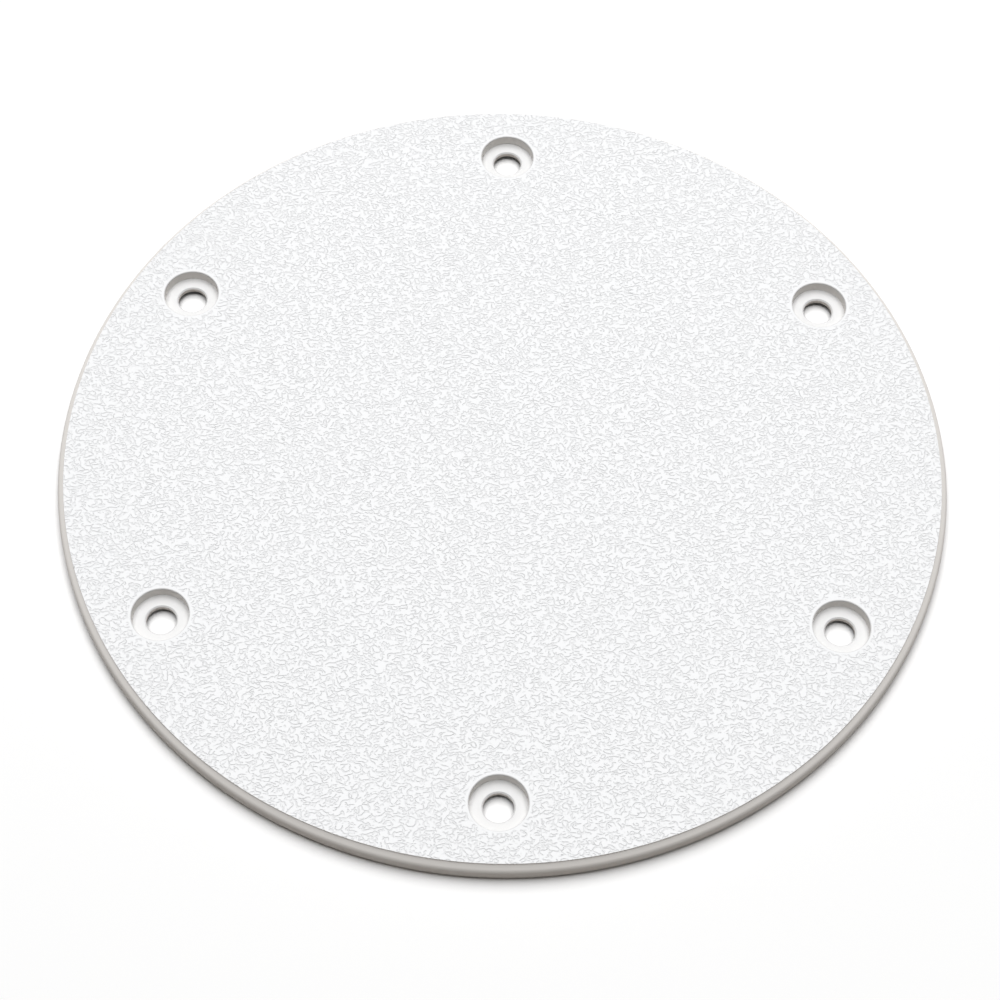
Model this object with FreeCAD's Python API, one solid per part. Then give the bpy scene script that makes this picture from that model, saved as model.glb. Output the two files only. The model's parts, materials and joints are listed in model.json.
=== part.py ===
import FreeCAD, Part
import math
import os

# Round deck inspection plate, one disc routed from marine board. All sizes are in millimetres.
# The origin is the middle of the underside, +Z points up out of the deck and +Y passes
# through the middle of one screw hole.

# Disc
PLATE_DIAMETER = 200.0
PLATE_THICKNESS = 5.0
UNDERSIDE_EDGE_BREAK = 1.2

# The edge that the router cuts round the top: a small step down from the grained face, then a
# bevel, then a round that blends the bevel into the upright side
EDGE_WIDTH = 1.5
EDGE_STEP_DEPTH = 0.3
EDGE_BEVEL_ANGLE = 40.0
EDGE_BLEND_RADIUS = 1.8

# Screw holes, evenly spaced on a circle that follows the disc's edge
SCREW_COUNT = 6
FIRST_SCREW_ANGLE = 90.0
EDGE_TO_SCREW_CENTRE = 15.0
SCREW_HOLE_DIAMETER = 6.6
SCREW_HOLE_EDGE_BREAK = 0.3
SCREW_HOLE_FOOT_BREAK = 1.2

# Counterbores for the screws' heads
COUNTERBORE_DIAMETER = 12.5
COUNTERBORE_DEPTH = 2.6
COUNTERBORE_LIP_RADIUS = 0.25

# How far the hole tool runs past both faces, so that it cuts them cleanly
TOOL_OVERRUN = 1.0

FULL_TURN = 360.0
ORIGIN = FreeCAD.Vector(0, 0, 0)
UP = FreeCAD.Vector(0, 0, 1)


def profile_point(radius, height):
    """A point of a profile in the plane through the axis, by radius and height."""
    return FreeCAD.Vector(radius, 0, height)


def short_arc(start, end, centre):
    """The shorter arc from start to end about centre, for a rounded edge."""
    middle = (start - centre) + (end - centre)
    middle.normalize()
    middle.multiply((start - centre).Length)
    return Part.Arc(start, centre + middle, end).toShape()


def turned(edges):
    """The solid that a closed profile of edges sweeps in a full turn about the axis."""
    face = Part.Face(Part.Wire(edges))
    return face.revolve(ORIGIN, UP, FULL_TURN)


def line(start, end):
    """A straight edge of a profile."""
    return Part.LineSegment(start, end).toShape()


def disc():
    """The disc without holes: a stepped, bevelled and rounded edge above, a broken one below."""
    radius = PLATE_DIAMETER / 2
    bevel_angle = math.radians(EDGE_BEVEL_ANGLE)
    blend_out = EDGE_BLEND_RADIUS * math.sin(bevel_angle)
    blend_up = EDGE_BLEND_RADIUS * math.cos(bevel_angle)
    bevel_width = EDGE_WIDTH - (EDGE_BLEND_RADIUS - blend_out)
    step_height = PLATE_THICKNESS - EDGE_STEP_DEPTH
    bevel_foot_height = step_height - bevel_width * math.tan(bevel_angle)
    blend_centre_radius = radius - EDGE_BLEND_RADIUS
    side_height = bevel_foot_height - blend_up

    underside_middle = profile_point(0, 0)
    underside_edge = profile_point(radius - UNDERSIDE_EDGE_BREAK, 0)
    side_foot = profile_point(radius, UNDERSIDE_EDGE_BREAK)
    side_head = profile_point(radius, side_height)
    bevel_foot = profile_point(blend_centre_radius + blend_out, bevel_foot_height)
    step_foot = profile_point(radius - EDGE_WIDTH, step_height)
    top_edge = profile_point(radius - EDGE_WIDTH, PLATE_THICKNESS)
    top_middle = profile_point(0, PLATE_THICKNESS)
    blend_centre = profile_point(blend_centre_radius, side_height)
    return turned([
        line(underside_middle, underside_edge),
        line(underside_edge, side_foot),
        line(side_foot, side_head),
        short_arc(side_head, bevel_foot, blend_centre),
        line(bevel_foot, step_foot),
        line(step_foot, top_edge),
        line(top_edge, top_middle),
        line(top_middle, underside_middle),
    ])


def hole_tool():
    """The space of one screw hole about the axis: broken edges, a flat seat and a rounded lip.

    In a thin plate the break at the foot is smaller, so that the hole keeps an upright wall.
    """
    hole_radius = SCREW_HOLE_DIAMETER / 2
    wall_radius = COUNTERBORE_DIAMETER / 2
    seat_height = PLATE_THICKNESS - COUNTERBORE_DEPTH
    foot_break = min(SCREW_HOLE_FOOT_BREAK, seat_height - 2 * SCREW_HOLE_EDGE_BREAK)
    lip_foot_height = PLATE_THICKNESS - COUNTERBORE_LIP_RADIUS
    lip_radius = wall_radius + COUNTERBORE_LIP_RADIUS

    below_middle = profile_point(0, -TOOL_OVERRUN)
    below_edge = profile_point(hole_radius + foot_break, -TOOL_OVERRUN)
    underside_edge = profile_point(hole_radius + foot_break, 0)
    hole_foot = profile_point(hole_radius, foot_break)
    hole_head = profile_point(hole_radius, seat_height - SCREW_HOLE_EDGE_BREAK)
    seat_inner = profile_point(hole_radius + SCREW_HOLE_EDGE_BREAK, seat_height)
    seat_outer = profile_point(wall_radius, seat_height)
    lip_foot = profile_point(wall_radius, lip_foot_height)
    lip_head = profile_point(lip_radius, PLATE_THICKNESS)
    lip_centre = profile_point(lip_radius, lip_foot_height)
    above_edge = profile_point(lip_radius, PLATE_THICKNESS + TOOL_OVERRUN)
    above_middle = profile_point(0, PLATE_THICKNESS + TOOL_OVERRUN)
    return turned([
        line(below_middle, below_edge),
        line(below_edge, underside_edge),
        line(underside_edge, hole_foot),
        line(hole_foot, hole_head),
        line(hole_head, seat_inner),
        line(seat_inner, seat_outer),
        line(seat_outer, lip_foot),
        short_arc(lip_foot, lip_head, lip_centre),
        line(lip_head, above_edge),
        line(above_edge, above_middle),
        line(above_middle, below_middle),
    ])


def screw_centres():
    """The centres of the screw holes, on their circle inside the disc's edge."""
    circle_radius = PLATE_DIAMETER / 2 - EDGE_TO_SCREW_CENTRE
    centres = []
    for index in range(SCREW_COUNT):
        angle = math.radians(FIRST_SCREW_ANGLE + index * FULL_TURN / SCREW_COUNT)
        centres.append(FreeCAD.Vector(circle_radius * math.cos(angle), circle_radius * math.sin(angle), 0))
    return centres


def inspection_plate():
    """The whole plate: the disc with a counterbored hole at each screw's centre."""
    tool = hole_tool()
    holes = [tool.translated(centre) for centre in screw_centres()]
    return disc().cut(holes)


os.makedirs("parts", exist_ok=True)
inspection_plate().exportStep("parts/inspection_plate.step")
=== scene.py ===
import json
import math

import bpy
import numpy as np
from mathutils import Matrix, Vector


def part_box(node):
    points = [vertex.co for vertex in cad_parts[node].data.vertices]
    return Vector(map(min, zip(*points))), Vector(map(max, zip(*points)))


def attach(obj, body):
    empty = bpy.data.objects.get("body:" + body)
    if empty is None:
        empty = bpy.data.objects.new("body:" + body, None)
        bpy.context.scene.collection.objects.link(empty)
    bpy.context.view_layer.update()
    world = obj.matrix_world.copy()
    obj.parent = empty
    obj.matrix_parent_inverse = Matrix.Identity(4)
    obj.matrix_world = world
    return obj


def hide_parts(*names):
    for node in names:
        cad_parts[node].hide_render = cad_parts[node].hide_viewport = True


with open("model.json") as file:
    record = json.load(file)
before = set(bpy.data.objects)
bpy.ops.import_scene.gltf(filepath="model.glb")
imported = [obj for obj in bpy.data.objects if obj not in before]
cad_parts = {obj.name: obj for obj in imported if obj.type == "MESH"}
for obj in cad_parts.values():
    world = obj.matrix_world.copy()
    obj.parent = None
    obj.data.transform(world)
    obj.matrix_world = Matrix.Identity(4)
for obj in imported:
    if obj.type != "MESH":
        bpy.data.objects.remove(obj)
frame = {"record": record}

bl_info = {
    "name": "Deck inspection plate",
    "version": (1, 0, 0),
    "blender": (4, 5, 0),
    "location": "View3D > Sidebar > Deck plate",
    "description": "A round cover plate routed from grained marine board, with its studio",
    "category": "Add Mesh",
}

# What the frame says of the plate

BOARD_NODE = "inspection_plate"
BOX_LOW, BOX_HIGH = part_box(BOARD_NODE)
SCREW_CIRCLE = next(m for m in frame["record"]["mounts"] if m["name"] == "screw_circle")["dims"]

# One millimetre, in the script's own unit, the metre
MM = 0.001

# How finely the plate's surfaces are divided
LIP_STEPS = 144
BOARD_RINGS = 10
BOARD_RING_GROWTH = 1.7
EDGE_ROUND_STEPS = 14
LIP_ROUND_STEPS = 7
WALL_STEPS = 2
WELD_STEP = 1e-8

# The mesh attribute that holds how far a point of a flat face lies from its hole's edge
FROM_HOLE = "from_hole"

# The grain's two layers: the turn of each, in degrees, and the point outside the plate that
# they turn about
GRAIN_TURNS = (30.0, 70.0)
GRAIN_PIVOT = (1.0, 1.0, 0.0)

# A crease winds where a noise from 0 to 1 lies within this of its middle
NOISE_MIDDLE = 0.5
CREASE_HALF_WIDTH = 0.12

# A second noise breaks the creases, fully from the higher level on: its size as a share of the
# grain's, its turn from the layer's, in degrees, and the two levels
BREAK_SIZE = 1.1
BREAK_TURN = 100.0
BREAK_DETAIL = 1.0
BREAK_LEVELS = (0.46, 0.56)

# The grain fades in between these shares of the smooth band round a counterbore
FADE_SHARES = (0.5, 1.5)

# How the board's surfaces take the light
BOARD_SHEEN = 0.15
FACE_ROUGHNESS = 0.5
FOOT_ROUGHNESS = 0.6

# The router's faint marks: how many to a metre, their detail and depth, and the roughness that
# they start from and add
TOOL_MARKS_PER_METRE = 400.0
TOOL_MARK_DETAIL = 3.0
TOOL_MARK_DEPTH = 0.01 * MM
CUT_ROUGHNESS = 0.4
TOOL_MARK_ROUGHNESS = 0.1

# The stage: the floor reaches this far from the middle and lies a hair below the plate, so that
# the two never share a plane
FLOOR_REACH = 6.0
FLOOR_DROP = 0.002 * MM
LAMP_SAMPLES = 41
FILL_TINT = (1.0, 0.97, 0.93)
PURE_WHITE = (1.0, 1.0, 1.0, 1.0)

# The camera's sensor in millimetres, and the range of distances that it sees
SENSOR_WIDTH = 36.0
SEEN_FROM = 0.01
SEEN_TO = 50.0


class PlateSizes(bpy.types.PropertyGroup):
    """The sizes of the plate: lengths in metres and the bevel's angle in radians."""

    diameter: bpy.props.FloatProperty(
        name="Diameter", description="Across the plate's rim",
        default=2 * BOX_HIGH.x, unit="LENGTH")
    thickness: bpy.props.FloatProperty(
        name="Thickness", description="From the underside to the grained face",
        default=BOX_HIGH.z - BOX_LOW.z, unit="LENGTH")
    edge_width: bpy.props.FloatProperty(
        name="Edge width", description="From the end of the grained face out to the rim",
        default=1.5 * MM, unit="LENGTH")
    edge_step_depth: bpy.props.FloatProperty(
        name="Edge step depth", description="Small step from the grained face down to the bevel",
        default=0.3 * MM, unit="LENGTH")
    edge_bevel_angle: bpy.props.FloatProperty(
        name="Edge bevel angle", description="Slope of the bevel below the step",
        default=math.radians(40.0), subtype="ANGLE")
    edge_blend_radius: bpy.props.FloatProperty(
        name="Edge blend radius", description="Round between the bevel and the upright side",
        default=1.8 * MM, unit="LENGTH")
    underside_edge_break: bpy.props.FloatProperty(
        name="Underside edge break", description="Bevel along the foot of the rim",
        default=1.2 * MM, unit="LENGTH")
    screw_count: bpy.props.IntProperty(
        name="Screw holes", description="Number of holes on the screw circle",
        default=int(SCREW_CIRCLE["count"]), min=3)
    screw_circle: bpy.props.FloatProperty(
        name="Screw circle", description="Diameter of the circle through the holes' centres",
        default=SCREW_CIRCLE["pcd_mm"] * MM, unit="LENGTH")
    hole_radius: bpy.props.FloatProperty(
        name="Hole radius", description="Radius of the clearance hole for a screw",
        default=SCREW_CIRCLE["hole_r_mm"] * MM, unit="LENGTH")
    hole_edge_break: bpy.props.FloatProperty(
        name="Hole edge break", description="Bevel where a clearance hole meets the seat",
        default=0.3 * MM, unit="LENGTH")
    hole_foot_break: bpy.props.FloatProperty(
        name="Hole foot break", description="Bevel where a clearance hole meets the underside",
        default=1.2 * MM, unit="LENGTH")
    counterbore_radius: bpy.props.FloatProperty(
        name="Counterbore radius", description="Radius of the pocket for a screw's head",
        default=6.25 * MM, unit="LENGTH")
    counterbore_depth: bpy.props.FloatProperty(
        name="Counterbore depth", description="From the grained face down to the head's seat",
        default=2.6 * MM, unit="LENGTH")
    lip_radius: bpy.props.FloatProperty(
        name="Lip radius", description="Round at the mouth of a counterbore",
        default=0.25 * MM, unit="LENGTH")


class BoardFinish(bpy.types.PropertyGroup):
    """The colours and the grain of the marine board; the crease, seat and foot colours are painted
    shade, and the routed colour is partly painted shade.
    """

    white: bpy.props.FloatVectorProperty(
        name="Board", description="Colour of the white polyethylene",
        default=(0.93, 0.935, 0.945), size=3, subtype="COLOR", min=0.0, max=1.0)
    # Darker and warmer than the board: partly the cut surface's own tone, partly painted shade for
    # the walls and sides that lie in shade
    routed: bpy.props.FloatVectorProperty(
        name="Routed edge", description="Colour where the router has cut the board",
        default=(0.86, 0.832, 0.80), size=3, subtype="COLOR", min=0.0, max=1.0)
    # Painted shade: the seats, lips and hole edge breaks of the counterbores are a darker copy of
    # the board, standing for the shade in the pockets
    seat: bpy.props.FloatVectorProperty(
        name="Seat", description="Colour of the lips and seats of the counterbores",
        default=(0.80, 0.80, 0.80), size=3, subtype="COLOR", min=0.0, max=1.0)
    # Painted contact shadow: the bevels at the holes' feet are near black where only shade falls
    foot: bpy.props.FloatVectorProperty(
        name="Foot", description="Colour of the bevels at the holes' feet, in the contact shadow",
        default=(0.04, 0.04, 0.04), size=3, subtype="COLOR", min=0.0, max=1.0)
    # Painted shade: the board's colour darkened low in the grain's creases
    crease: bpy.props.FloatVectorProperty(
        name="Grain crease", description="Colour low in the creases of the grain",
        default=(0.90, 0.905, 0.915), size=3, subtype="COLOR", min=0.0, max=1.0)
    grain_size: bpy.props.FloatProperty(
        name="Grain size", description="Size of the fields that the creases enclose",
        default=1.35 * MM, unit="LENGTH")
    grain_stretch: bpy.props.FloatProperty(
        name="Grain stretch", description="How much longer the creases are from left to right",
        default=1.3)
    grain_depth: bpy.props.FloatProperty(
        name="Grain depth", description="Depth of the grain's creases",
        default=0.13 * MM, unit="LENGTH")
    smooth_band: bpy.props.FloatProperty(
        name="Smooth band", description="Width of the face without grain round a counterbore",
        default=0.5 * MM, unit="LENGTH")


class StudioSettings(bpy.types.PropertyGroup):
    """The camera, the lamp and the surroundings."""

    elevation: bpy.props.FloatProperty(
        name="Elevation", description="Camera's height above the horizon",
        default=math.radians(59.276), subtype="ANGLE")
    azimuth: bpy.props.FloatProperty(
        name="Azimuth", description="Camera's turn about the plate's axis",
        default=math.radians(-0.664), subtype="ANGLE")
    roll: bpy.props.FloatProperty(
        name="Roll", description="Camera's turn about its own line of sight",
        default=math.radians(1.58), subtype="ANGLE")
    distance: bpy.props.FloatProperty(
        name="Distance", description="From the camera to the point it looks at",
        default=526.04 * MM, unit="LENGTH")
    aim: bpy.props.FloatVectorProperty(
        name="Aim", description="Point on the floor that the camera looks at",
        default=(-0.59 * MM, -9.34 * MM, 0.0), size=3, subtype="TRANSLATION")
    lens: bpy.props.FloatProperty(
        name="Lens", description="Focal length in millimetres on a 36 mm sensor",
        default=84.168)
    lamp_level: bpy.props.FloatProperty(
        name="Lamp level", description="Share of a white surface's brightness that the lamp gives",
        default=0.98)
    lamp_width: bpy.props.FloatProperty(
        name="Lamp width", description="Side of the softbox from left to right",
        default=2.4, unit="LENGTH")
    lamp_length: bpy.props.FloatProperty(
        name="Lamp length", description="Side of the softbox from front to back",
        default=3.4, unit="LENGTH")
    lamp_place: bpy.props.FloatVectorProperty(
        name="Lamp place", description="Middle of the softbox, which faces straight down",
        default=(0.0, 1.15, 3.0), size=3, subtype="TRANSLATION")
    fill_level: bpy.props.FloatProperty(
        name="Fill level", description="Brightness of the surroundings as a light",
        default=0.03)
    floor_glow: bpy.props.FloatVectorProperty(
        name="Floor glow", description="Colour of the light that the floor throws back",
        default=(0.46, 0.43, 0.40), size=3, subtype="COLOR", min=0.0, max=1.0)


# Surfaces as whole arrays


class Patch:
    """A piece of surface: points and outward normals on a grid, and the material it wears.

    On a flat face each point also knows how far it lies from the edge of its hole.
    """

    def __init__(self, points, normals, finish, from_hole=0.0):
        self.points = points
        self.normals = np.broadcast_to(normals, points.shape)
        self.finish = finish
        self.from_hole = np.broadcast_to(from_hole, points.shape[:2])


def arc(centre, radius, start, end, steps):
    """A profile's round: centre plus radius times the cosine and sine of evenly spaced angles.

    Gives the points and the unit directions from the centre, both as (radius, height).
    """
    angle = np.linspace(start, end, steps + 1)
    direction = np.stack([np.cos(angle), np.sin(angle)], axis=1)
    return np.asarray(centre) + radius * direction, direction


def straight(start, end, steps):
    """A profile's straight run: even shares of the way from start to end.

    Gives the points and the unit direction square to the run, on its right hand.
    """
    share = np.linspace(0.0, 1.0, steps + 1)[:, None]
    start, end = np.asarray(start), np.asarray(end)
    along = (end - start) / np.linalg.norm(end - start)
    side = np.array([along[1], -along[0]])
    return start + share * (end - start), np.broadcast_to(side, (steps + 1, 2))


def turned(run, angles, centre, finish, inward=False):
    """A profile carried round an upright axis: radius times cosine and sine, and height.

    A point's normal is the profile's, turned by the same angle, or its opposite in a hole.
    """
    points, normals = run
    cosine, sine = np.cos(angles)[None, :], np.sin(angles)[None, :]
    same = np.ones_like(cosine)
    radius, height = points[:, :1], points[:, 1:]
    surface = np.stack(
        [centre[0] + radius * cosine, centre[1] + radius * sine, height * same], axis=-1)
    across, up = normals[:, :1], normals[:, 1:]
    outward = np.stack([across * cosine, across * sine, up * same], axis=-1)
    return Patch(surface, -outward if inward else outward, finish)


def sector_border(sizes, edge_radius):
    """The border of a flat face's share of one hole, from the middle of the plate and back.

    It runs out along one straight side, along the face's edge and in along the other side.
    A quarter of the steps goes to each side and half of them to the edge. The sector's own
    hole lies on its X axis.
    """
    quarter = LIP_STEPS // 4
    half_angle = math.pi / sizes.screw_count
    out = np.linspace(0.0, edge_radius, quarter + 1)
    side = out[:, None] * np.array([math.cos(half_angle), -math.sin(half_angle)])
    angle = np.linspace(-half_angle, half_angle, 2 * quarter + 1)
    edge = edge_radius * np.stack([np.cos(angle), np.sin(angle)], axis=1)
    back = side[::-1] * np.array([1.0, -1.0])
    return np.concatenate([side[:-1], edge[:-1], back])


def lip_angles():
    """Even angles round a hole, from the side that faces the middle of the plate."""
    return np.linspace(-math.pi, math.pi, LIP_STEPS + 1)


def flat_face(sizes, edge_radius, hole_edge, height, up, finish):
    """A flat face of the plate: straight lines from each hole's edge to the sector's border.

    A point is the edge's point plus a share of the way to the border's point of the same
    number. The shares grow with a power, so that the rings lie close at the hole.
    """
    border = sector_border(sizes, edge_radius)
    angles = lip_angles()
    circle = sizes.screw_circle / 2
    edge = hole_edge * np.stack([np.cos(angles), np.sin(angles)], axis=1) + np.array([circle, 0.0])
    share = np.linspace(0.0, 1.0, BOARD_RINGS + 1) ** BOARD_RING_GROWTH
    flat = edge[None] + share[:, None, None] * (border - edge)[None]
    from_hole = np.hypot(flat[..., 0] - circle, flat[..., 1]) - hole_edge
    for turn in sector_turns(sizes):
        cosine, sine = math.cos(turn), math.sin(turn)
        x = flat[..., 0] * cosine - flat[..., 1] * sine
        y = flat[..., 0] * sine + flat[..., 1] * cosine
        points = np.stack([x, y, np.full_like(x, height)], axis=-1)
        yield Patch(points, np.array([0.0, 0.0, up]), finish, from_hole)


def sector_turns(sizes):
    """The angle of each screw hole: even steps round the plate from the +Y axis."""
    return [math.pi / 2 + k * math.tau / sizes.screw_count for k in range(sizes.screw_count)]


def rim_angles(sizes):
    """The angles of the flat face's edge points, all the way round, which the rim takes over."""
    half_angle = math.pi / sizes.screw_count
    steps = np.linspace(-half_angle, half_angle, LIP_STEPS // 2 + 1)[:-1]
    turns = np.asarray(sector_turns(sizes))
    around = (turns[:, None] + steps[None, :]).ravel()
    return np.append(around, around[0] + math.tau)


def rim(sizes, finish):
    """The rim from the grained face down: step, bevel, blending round, upright side and break."""
    radius = sizes.diameter / 2
    slope = sizes.edge_bevel_angle
    blend = sizes.edge_blend_radius
    edge = radius - sizes.edge_width
    bevel_end = radius - blend + blend * math.sin(slope)
    step = sizes.thickness - sizes.edge_step_depth
    bevel_foot = step - (bevel_end - edge) * math.tan(slope)
    side_head = bevel_foot - blend * math.cos(slope)
    side_foot = sizes.underside_edge_break
    around = rim_angles(sizes)
    runs = [
        straight((edge, step), (edge, sizes.thickness), 1),
        straight((bevel_end, bevel_foot), (edge, step), WALL_STEPS),
        arc((radius - blend, side_head), blend, math.pi / 2 - slope, 0.0, EDGE_ROUND_STEPS),
        straight((radius, side_foot), (radius, side_head), WALL_STEPS),
        straight((radius - side_foot, 0.0), (radius, side_foot), 1),
    ]
    return [turned(run, around, (0.0, 0.0), finish) for run in runs]


def screw_hole(sizes, centre, turn, finish, seat_painted_shade_finish, foot_painted_shadow_finish):
    """One counterbored hole: lip, wall, seat, bevel, clearance hole and the bevel below."""
    top = sizes.thickness
    wall = sizes.counterbore_radius
    seat = top - sizes.counterbore_depth
    lip = sizes.lip_radius
    hole = sizes.hole_radius
    bevel = sizes.hole_edge_break
    foot = sizes.hole_foot_break
    around = lip_angles() + turn
    # The seat's finish on the lip, seat and edge break is painted shade; the foot bevel's finish
    # is a painted contact shadow
    lip_run = arc((wall + lip, top - lip), lip, math.pi, math.pi / 2, LIP_ROUND_STEPS)
    inner_runs = [
        (straight((wall, seat), (wall, top - lip), WALL_STEPS), finish),
        (straight((hole + bevel, seat), (wall, seat), WALL_STEPS), seat_painted_shade_finish),
        (straight((hole, seat - bevel), (hole + bevel, seat), 1), seat_painted_shade_finish),
        (straight((hole, foot), (hole, seat - bevel), WALL_STEPS), finish),
        (straight((hole + foot, 0.0), (hole, foot), 1), foot_painted_shadow_finish),
    ]
    patches = [turned(run, around, centre, worn, inward=True) for run, worn in inner_runs]
    return patches + [turned(lip_run, around, centre, seat_painted_shade_finish)]


def grid_quads(rows, columns):
    """The quads of a grid of points: each point with its neighbours to the right and below."""
    corner = np.arange(rows * columns).reshape(rows, columns)
    quads = [corner[:-1, :-1], corner[:-1, 1:], corner[1:, 1:], corner[1:, :-1]]
    return np.stack(quads, axis=-1).reshape(-1, 4)


def woven_mesh(name, patches, materials):
    """One closed mesh from patches: equal points are welded, and faces turn to the normals."""
    points, normals, quads, finishes, distances = [], [], [], [], []
    start = 0
    for patch in patches:
        rows, columns = patch.points.shape[:2]
        faces = grid_quads(rows, columns)
        flat, normal = patch.points.reshape(-1, 3), patch.normals.reshape(-1, 3)
        across = flat[faces[:, 2]] - flat[faces[:, 0]]
        over = flat[faces[:, 3]] - flat[faces[:, 1]]
        wrong = np.einsum("ij,ij->i", np.cross(across, over), normal[faces].sum(axis=1)) < 0
        faces[wrong] = faces[wrong, ::-1]
        points.append(flat)
        normals.append(normal)
        quads.append(faces + start)
        finishes.append(np.full(len(faces), patch.finish))
        distances.append(patch.from_hole.reshape(-1))
        start += rows * columns
    points, normals = np.concatenate(points), np.concatenate(normals)
    quads, finishes = np.concatenate(quads), np.concatenate(finishes)
    distances = np.concatenate(distances)
    steps = np.round(points / WELD_STEP).astype(np.int64)
    _, first, same = np.unique(steps, axis=0, return_index=True, return_inverse=True)
    mesh = bpy.data.meshes.new(name)
    welded = same.reshape(-1)[quads]
    mesh.from_pydata(points[first], [], welded)
    for material in materials:
        mesh.materials.append(material)
    mesh.polygons.foreach_set("material_index", finishes.astype(np.int32))
    from_hole = mesh.attributes.new(FROM_HOLE, "FLOAT", "POINT")
    from_hole.data.foreach_set("value", distances[first].astype(np.float32))
    mesh.normals_split_custom_set(normals[quads].reshape(-1, 3))
    mesh.update()
    mesh.validate()
    return mesh


# Materials


class Signal:
    """An output socket of a material's nodes. Arithmetic on it adds Math nodes."""

    def __init__(self, tree, socket=None):
        self.tree = tree
        self.socket = socket

    def node(self, kind, settings=None, inputs=None, output=0):
        """Adds one node of that kind: its settings first, then its sockets' values or links."""
        made = self.tree.nodes.new(kind)
        for name, value in (settings or {}).items():
            setattr(made, name, value)
        for name, value in (inputs or {}).items():
            if isinstance(value, Signal):
                self.tree.links.new(value.socket, made.inputs[name])
            else:
                made.inputs[name].default_value = value
        return Signal(self.tree, made.outputs[output] if made.outputs else None)

    def math(self, operation, first, second):
        """A Math node of two values or Signals."""
        return self.node("ShaderNodeMath", {"operation": operation}, {0: first, 1: second})

    def __add__(self, other):
        return self.math("ADD", self, other)

    __radd__ = __add__

    def __sub__(self, other):
        return self.math("SUBTRACT", self, other)

    def __rsub__(self, other):
        return self.math("SUBTRACT", other, self)

    def __mul__(self, other):
        return self.math("MULTIPLY", self, other)

    __rmul__ = __mul__

    def absolute(self):
        """The size of the value, without its sign."""
        return self.math("ABSOLUTE", self, 0.0)

    def larger(self, other):
        """The larger of the two values."""
        return self.math("MAXIMUM", self, other)

    def between(self, low, high):
        """0 up to low, 1 from high on, and a smooth step from one to the other."""
        return self.node(
            "ShaderNodeMapRange", {"interpolation_type": "SMOOTHSTEP"},
            {"Value": self, "From Min": low, "From Max": high})


def new_material(name):
    """An empty node material and a Signal to build it with."""
    material = bpy.data.materials.new(name)
    material.use_nodes = True
    material.node_tree.nodes.clear()
    return material, Signal(material.node_tree)


def opaque(colour):
    """A colour with full alpha, as a colour socket takes it."""
    return (*colour, 1.0)


def blended(start, mask, low, high):
    """The colour low where the mask is 0 and high where it is 1."""
    return start.node(
        "ShaderNodeMix", {"data_type": "RGBA"}, {"Factor": mask, 6: low, 7: high}, output=2)


def flat_noise(place, size, turn, detail):
    """Noise from 0 to 1 with features of that size, turned about a point outside the plate."""
    turned_place = place.node(
        "ShaderNodeVectorRotate", {"rotation_type": "Z_AXIS"},
        {"Vector": place, "Center": GRAIN_PIVOT, "Angle": math.radians(turn)})
    return place.node(
        "ShaderNodeTexNoise", {"noise_dimensions": "2D"},
        {"Vector": turned_place, "Scale": 1.0 / size, "Detail": detail})


def creases(place, size, turn):
    """0 in creases that wind where a smooth noise passes its middle, and 1 beside them.

    Patches of a second noise break the creases into short strokes.
    """
    off_middle = (flat_noise(place, size, turn, 0.0) - NOISE_MIDDLE).absolute()
    winding = off_middle.between(0.0, CREASE_HALF_WIDTH)
    patches = flat_noise(place, BREAK_SIZE * size, turn + BREAK_TURN, BREAK_DETAIL)
    return winding.larger(patches.between(*BREAK_LEVELS))


def grain_height(start, finish):
    """Height of the leather grain, 0 low in its creases and 1 on the face between them.

    Two layers of creases cross each other, each with its own turn so that the noise shows no
    rows. They fade out at the edge of a counterbore.
    """
    centre = start.node("ShaderNodeTexCoord", output="Object")
    stretch = math.sqrt(finish.grain_stretch)
    place = start.node(
        "ShaderNodeVectorMath", {"operation": "MULTIPLY"},
        {0: centre, 1: (1.0 / stretch, stretch, 1.0)})
    first, second = (creases(place, finish.grain_size, turn) for turn in GRAIN_TURNS)
    from_hole = start.node(
        "ShaderNodeAttribute", {"attribute_name": FROM_HOLE}, output=2)
    grown = from_hole.between(*(share * finish.smooth_band for share in FADE_SHARES))
    return 1.0 - (1.0 - first * second) * grown


def board_face_material(finish):
    """White polyethylene with the leather grain that the sheet's rollers press into it, and
    painted shade low in its creases.
    """
    material, start = new_material("marine_board_grained_face")
    height = grain_height(start, finish)
    bump = start.node(
        "ShaderNodeBump", None,
        {"Height": height, "Distance": finish.grain_depth, "Strength": 1.0})
    # Painted shade: the crease colour where the grain lies low, the board's white between the
    # creases
    colour = blended(start, height, opaque(finish.crease), opaque(finish.white))
    shader = start.node(
        "ShaderNodeBsdfPrincipled", None,
        {"Base Color": colour, "Roughness": FACE_ROUGHNESS,
         "Specular IOR Level": BOARD_SHEEN, "Normal": bump})
    start.node("ShaderNodeOutputMaterial", None, {"Surface": shader})
    return material


def board_cut_material(name, colour):
    """The same board where the router has cut it: smooth, with faint marks of the tool, in a
    darker colour that is painted shade on the seats and partly painted shade on the walls and
    sides.
    """
    material, start = new_material(name)
    place = start.node("ShaderNodeTexCoord", output="Object")
    marks = start.node(
        "ShaderNodeTexNoise", None,
        {"Vector": place, "Scale": TOOL_MARKS_PER_METRE, "Detail": TOOL_MARK_DETAIL})
    bump = start.node(
        "ShaderNodeBump", None, {"Height": marks, "Distance": TOOL_MARK_DEPTH, "Strength": 1.0})
    shader = start.node(
        "ShaderNodeBsdfPrincipled", None,
        {"Base Color": opaque(colour), "Roughness": marks * TOOL_MARK_ROUGHNESS + CUT_ROUGHNESS,
         "Specular IOR Level": BOARD_SHEEN, "Normal": bump})
    start.node("ShaderNodeOutputMaterial", None, {"Surface": shader})
    return material


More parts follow.
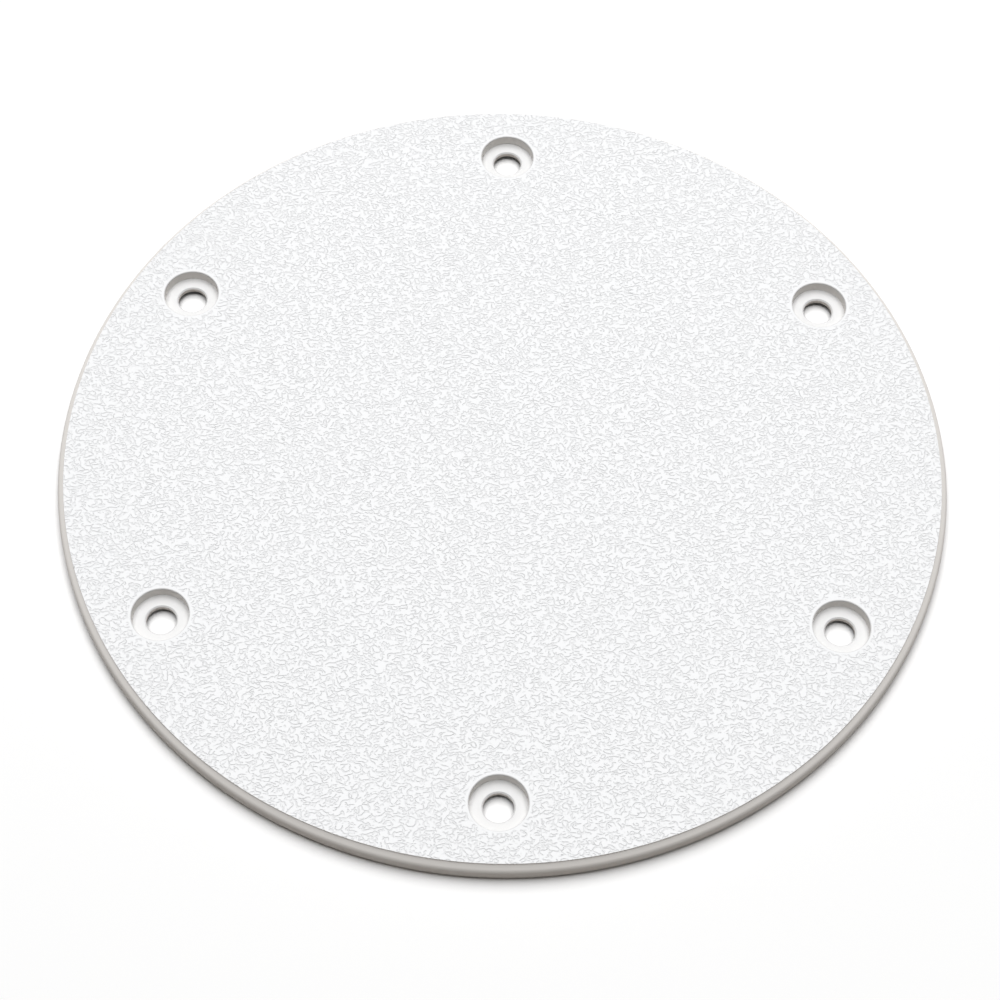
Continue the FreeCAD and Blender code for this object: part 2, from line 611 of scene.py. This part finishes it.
def foot_painted_shadow_material(finish):
    """The bevels at the feet of the holes, painted near black as the contact shadow in which they
    lie.
    """
    material, start = new_material("marine_board_foot_painted_shadow")
    shader = start.node(
        "ShaderNodeBsdfPrincipled", None,
        {"Base Color": opaque(finish.foot), "Roughness": FOOT_ROUGHNESS,
         "Specular IOR Level": BOARD_SHEEN})
    start.node("ShaderNodeOutputMaterial", None, {"Surface": shader})
    return material


def seen_directly(start):
    """1 for what the camera sees, also by reflection or through glass, and 0 for other light."""
    rays = start.node("ShaderNodeLightPath")
    outputs = rays.socket.node.outputs
    names = ("Is Camera Ray", "Is Glossy Ray", "Is Transmission Ray")
    camera, glossy, through = (Signal(start.tree, outputs[name]) for name in names)
    return camera.larger(glossy).larger(through)


def floor_material(studio):
    """A white floor to the eye, which throws less light back at the plate's rim."""
    material, start = new_material("studio_floor")
    seen = seen_directly(start)
    colour = blended(start, seen, opaque(studio.floor_glow), PURE_WHITE)
    shader = start.node("ShaderNodeBsdfDiffuse", None, {"Color": colour})
    start.node("ShaderNodeOutputMaterial", None, {"Surface": shader})
    return material


def lamp_share(studio):
    """How much of the softbox's light falls on a level spot at the origin.

    The mean over the softbox of its height squared over the distance to the fourth power.
    """
    across, behind, height = studio.lamp_place
    steps = np.linspace(-0.5, 0.5, LAMP_SAMPLES)
    x = across + studio.lamp_width * steps[:, None]
    y = behind + studio.lamp_length * steps[None, :]
    return float(np.mean(height ** 2 / (x ** 2 + y ** 2 + height ** 2) ** 2))


# What each button of the panel makes


class DECKPLATE_OT_plate(bpy.types.Operator):
    """Makes the plate itself: one disc routed from marine board"""

    bl_idname = "deckplate.plate"
    bl_label = "Inspection plate"

    def execute(self, context):
        sizes = context.scene.plate_sizes
        finish = context.scene.board_finish
        # The four slots: grained face with painted crease shade, routed cut partly painted shade,
        # seats in painted shade, feet in painted contact shadow
        grained, cut, seat, foot = 0, 1, 2, 3
        radius = sizes.diameter / 2
        patches = list(flat_face(
            sizes, radius - sizes.edge_width, sizes.counterbore_radius + sizes.lip_radius,
            sizes.thickness, 1.0, grained))
        patches += rim(sizes, cut)
        circle = sizes.screw_circle / 2
        for turn in sector_turns(sizes):
            centre = (circle * math.cos(turn), circle * math.sin(turn))
            patches += screw_hole(sizes, centre, turn, cut, seat, foot)
        patches += list(flat_face(
            sizes, radius - sizes.underside_edge_break, sizes.hole_radius + sizes.hole_foot_break,
            0.0, -1.0, cut))
        mesh = woven_mesh("routed_plate", patches, [
            board_face_material(finish),
            board_cut_material("marine_board_routed_edge_painted_shade", finish.routed),
            board_cut_material("marine_board_seat_painted_shade", finish.seat),
            foot_painted_shadow_material(finish)])
        piece = bpy.data.objects.new("routed_plate", mesh)
        context.scene.collection.objects.link(piece)
        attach(piece, "root")
        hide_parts(BOARD_NODE)
        return {"FINISHED"}


class DECKPLATE_OT_studio(bpy.types.Operator):
    """Makes the stage: the floor, the soft lamp overhead, the surroundings and the camera"""

    bl_idname = "deckplate.studio"
    bl_label = "Studio"

    def execute(self, context):
        scene = context.scene
        studio = scene.studio_settings
        scene.view_settings.view_transform = "Standard"
        self.floor(context, studio)
        self.lamp(context, studio)
        self.surroundings(context, studio)
        self.camera(context, studio)
        return {"FINISHED"}

    def floor(self, context, studio):
        """The white square that the plate lies on."""
        signs = [(-1, -1), (1, -1), (1, 1), (-1, 1)]
        corners = [(x * FLOOR_REACH, y * FLOOR_REACH, -FLOOR_DROP) for x, y in signs]
        mesh = bpy.data.meshes.new("floor")
        mesh.from_pydata(corners, [], [(0, 1, 2, 3)])
        mesh.materials.append(floor_material(studio))
        floor = bpy.data.objects.new("floor", mesh)
        context.scene.collection.objects.link(floor)

    def lamp(self, context, studio):
        """The softbox overhead, whose power makes a white level spot as bright as lamp_level.

        A white spot throws back the light that falls on it over pi, and that light is the
        lamp's power over pi times its share.
        """
        data = bpy.data.lights.new("softbox", "AREA")
        data.shape = "RECTANGLE"
        data.size = studio.lamp_width
        data.size_y = studio.lamp_length
        data.energy = studio.lamp_level * math.pi ** 2 / lamp_share(studio)
        lamp = bpy.data.objects.new("softbox", data)
        lamp.location = studio.lamp_place
        context.scene.collection.objects.link(lamp)

    def surroundings(self, context, studio):
        """White to the eye, and a weak warm fill as a light."""
        world = bpy.data.worlds.new("surroundings")
        world.use_nodes = True
        world.node_tree.nodes.clear()
        start = Signal(world.node_tree)
        seen = seen_directly(start)
        fill = [studio.fill_level * tint for tint in FILL_TINT]
        colour = blended(start, seen, opaque(fill), PURE_WHITE)
        light = start.node("ShaderNodeBackground", None, {"Color": colour, "Strength": 1.0})
        start.node("ShaderNodeOutputWorld", None, {"Surface": light})
        context.scene.world = world

    def camera(self, context, studio):
        """The photograph's view: turned towards the aim, set back by the distance and rolled."""
        data = bpy.data.cameras.new("camera")
        data.lens = studio.lens
        data.sensor_width = SENSOR_WIDTH
        data.clip_start = SEEN_FROM
        data.clip_end = SEEN_TO
        camera = bpy.data.objects.new("camera", data)
        level = math.cos(studio.elevation)
        back = Vector((
            math.sin(studio.azimuth) * level,
            -math.cos(studio.azimuth) * level,
            math.sin(studio.elevation)))
        turn = (-back).to_track_quat("-Z", "Y").to_matrix().to_4x4()
        place = Matrix.Translation(Vector(studio.aim) + studio.distance * back)
        camera.matrix_world = place @ turn @ Matrix.Rotation(studio.roll, 4, "Z")
        context.scene.collection.objects.link(camera)
        context.scene.camera = camera


class DECKPLATE_PT_panel(bpy.types.Panel):
    """Lists what makes the plate and its studio"""

    bl_idname = "DECKPLATE_PT_panel"
    bl_label = "Deck plate"
    bl_space_type = "VIEW_3D"
    bl_region_type = "UI"
    bl_category = "Deck plate"

    def draw(self, context):
        layout = self.layout
        for settings in GROUPS:
            group = getattr(context.scene, settings)
            box = layout.box()
            for name in group.bl_rna.properties.keys():
                if name not in ("rna_type", "name"):
                    box.prop(group, name)
        for operator in OPERATORS:
            layout.operator(operator.bl_idname)


GROUPS = {
    "plate_sizes": PlateSizes,
    "board_finish": BoardFinish,
    "studio_settings": StudioSettings,
}
OPERATORS = (DECKPLATE_OT_plate, DECKPLATE_OT_studio)


def register():
    """Registers the settings, the operators and the panel."""
    for name, group in GROUPS.items():
        bpy.utils.register_class(group)
        setattr(bpy.types.Scene, name, bpy.props.PointerProperty(type=group))
    for operator in OPERATORS:
        bpy.utils.register_class(operator)
    bpy.utils.register_class(DECKPLATE_PT_panel)


def unregister():
    """Takes back what register did, in the opposite order."""
    bpy.utils.unregister_class(DECKPLATE_PT_panel)
    for operator in reversed(OPERATORS):
        bpy.utils.unregister_class(operator)
    for name, group in reversed(GROUPS.items()):
        delattr(bpy.types.Scene, name)
        bpy.utils.unregister_class(group)


def main():
    """Registers the add-on and makes everything in order."""
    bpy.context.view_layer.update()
    register()
    bpy.ops.deckplate.studio()
    bpy.ops.deckplate.plate()


if __name__ == "__main__":
    main()
